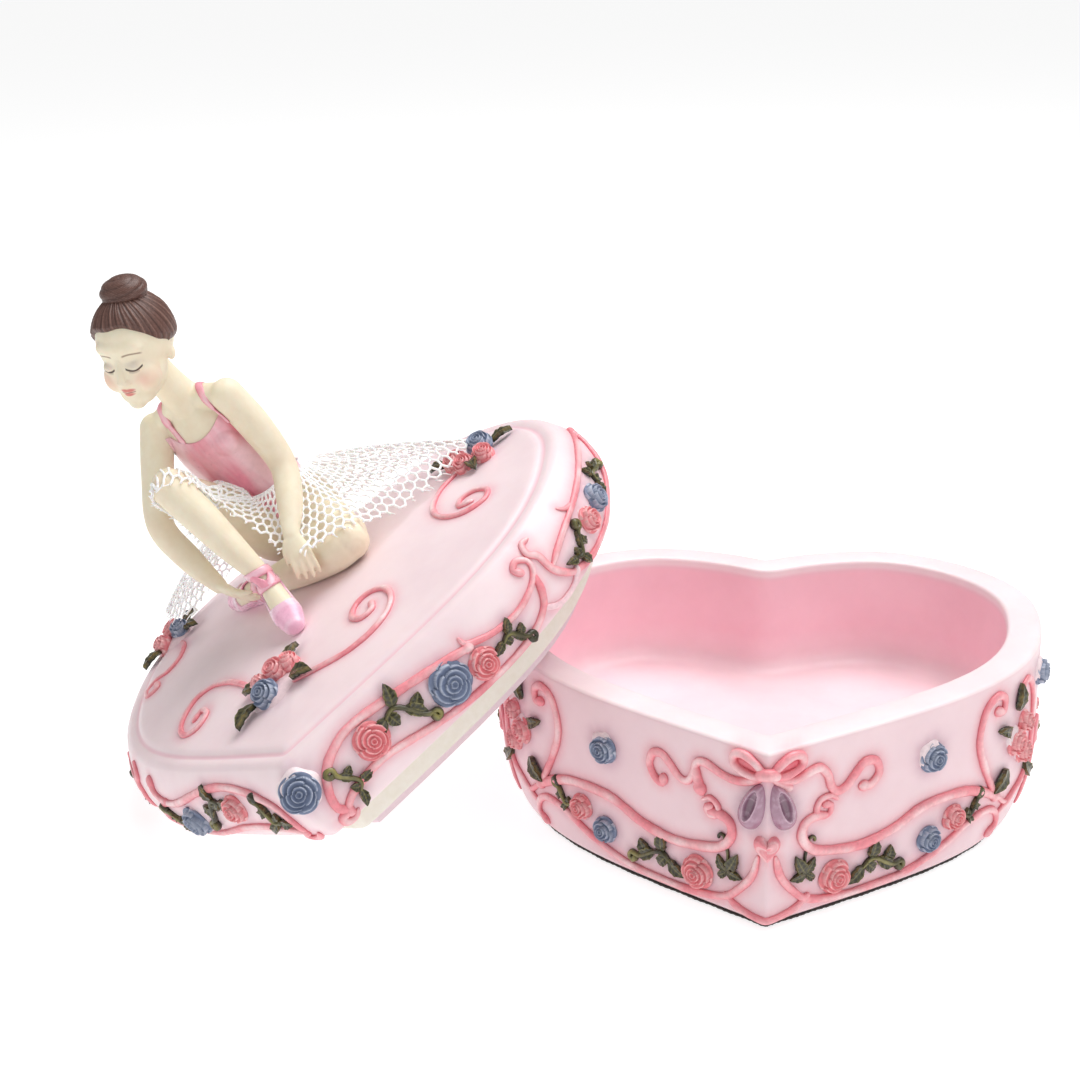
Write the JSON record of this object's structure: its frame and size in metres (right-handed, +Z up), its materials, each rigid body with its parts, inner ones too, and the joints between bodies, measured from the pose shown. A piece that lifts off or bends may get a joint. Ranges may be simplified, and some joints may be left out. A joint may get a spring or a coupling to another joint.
{
  "type": "wind up music box",
  "caption": "Heart-shaped cast-resin music box with a keepsake compartment and a lift-off lid that carries a seated dancer and the key-wound movement.",
  "frame": {"origin": "on the table under the heart-shaped base, at the crossing of the heart's axis and the line between its lobes' centres", "axes": "+Z up, -Y towards the point of the heart, +X to its right; the lid leans on the base's left rim"},
  "size_m": [0.2563, 0.159, 0.1509],
  "materials": {
    "base_pink_resin": "satin painted cast resin",
    "felt": "dark felt",
    "coral_paint": "coral paint, dry-brushed with pearl",
    "rose_paint": "coral and blue-grey paint with pale petal edges",
    "leaf_paint": "dark olive paint with yellow-green edges",
    "mauve_paint": "glossy mauve paint",
    "lid_pink_resin": "satin painted cast resin",
    "cream_resin": "unpainted cream resin",
    "cover_board": "plain board",
    "screw_steel": "zinc",
    "skin_paint": "ivory paint",
    "hair_paint": "brown paint over fine strands",
    "leotard_paint": "pink paint with pearl brushing",
    "slipper_paint": "satin pink paint",
    "net": "white hexagonal net",
    "movement_brass": "satin",
    "comb_steel": "ground",
    "screw_brass": "bright",
    "spring_steel": "blued",
    "arbor_steel": "bright",
    "key_steel": "nickel plated",
    "wheel_brass": "bright",
    "cylinder_brass": "bright",
    "brake_grey": "moulded"
  },
  "bodies": {
    "box": {"base_casting": "base_pink_resin", "felt_pad": "felt", "base_scrollwork": "coral_paint", "base_roses": "rose_paint", "base_leaves": "leaf_paint", "base_bow": "coral_paint", "base_slippers_emblem": "mauve_paint"},
    "lid": {"lid_casting": "lid_pink_resin", "lid_locating_ring": "cream_resin", "lid_cover_board": "cover_board", "board_screws": "screw_steel", "lid_scrollwork": "coral_paint", "lid_roses": "rose_paint", "lid_leaves": "leaf_paint", "figure_skin": "skin_paint", "figure_hair": "hair_paint", "figure_leotard": "leotard_paint", "figure_slippers": "slipper_paint", "net_skirt": "net", "movement_bedplate": "movement_brass", "comb": "comb_steel", "comb_screws": "screw_brass", "spring_housing": "movement_brass", "spring_cover": "movement_brass", "mainspring": "spring_steel", "governor_frame": "movement_brass", "movement_screws": "screw_steel"},
    "winding": {"winding_arbor": "arbor_steel", "winding_key": "key_steel"},
    "drive": {"crown_wheel": "wheel_brass"},
    "cylinder": {"pinned_cylinder": "cylinder_brass", "cylinder_gear": "wheel_brass"},
    "intermediate": {"intermediate_wheel": "wheel_brass"},
    "governor": {"governor_worm": "arbor_steel", "air_brake": "brake_grey"}
  },
  "joints": [
    {"name": "lid_lift", "type": "slide", "parent": "box", "child": "lid", "axis": [0, 0, 1], "range_m": [0, 0.09]},
    {"name": "key_winding", "type": "hinge", "parent": "lid", "child": "winding", "pos_m": [-0.11115, -0.01506, 0.02766], "axis": [-0.5275, -0.1573, 0.8348], "range_deg": [0, 1800]},
    {"name": "crown_wheel_turn", "type": "hinge", "parent": "lid", "child": "drive", "pos_m": [-0.11326, -0.01569, 0.031], "axis": [-0.5275, -0.1573, 0.8348], "continuous": true},
    {"name": "cylinder_turn", "type": "hinge", "parent": "lid", "child": "cylinder", "pos_m": [-0.09829, -0.01778, 0.04845], "axis": [0.8483, -0.0452, 0.5275], "continuous": true},
    {"name": "intermediate_turn", "type": "hinge", "parent": "lid", "child": "intermediate", "pos_m": [-0.09017, -0.01029, 0.05499], "axis": [0.8483, -0.0452, 0.5275], "continuous": true},
    {"name": "governor_turn", "type": "hinge", "parent": "lid", "child": "governor", "pos_m": [-0.0881, -0.00563, 0.05718], "axis": [-0.5275, -0.1573, 0.8348], "continuous": true}
  ],
  "couplings": [
    {"joint": "crown_wheel_turn", "follows": "cylinder_turn", "ratio": 0.5},
    {"joint": "intermediate_turn", "follows": "cylinder_turn", "ratio": -3},
    {"joint": "governor_turn", "follows": "cylinder_turn", "ratio": 60}
  ]
}
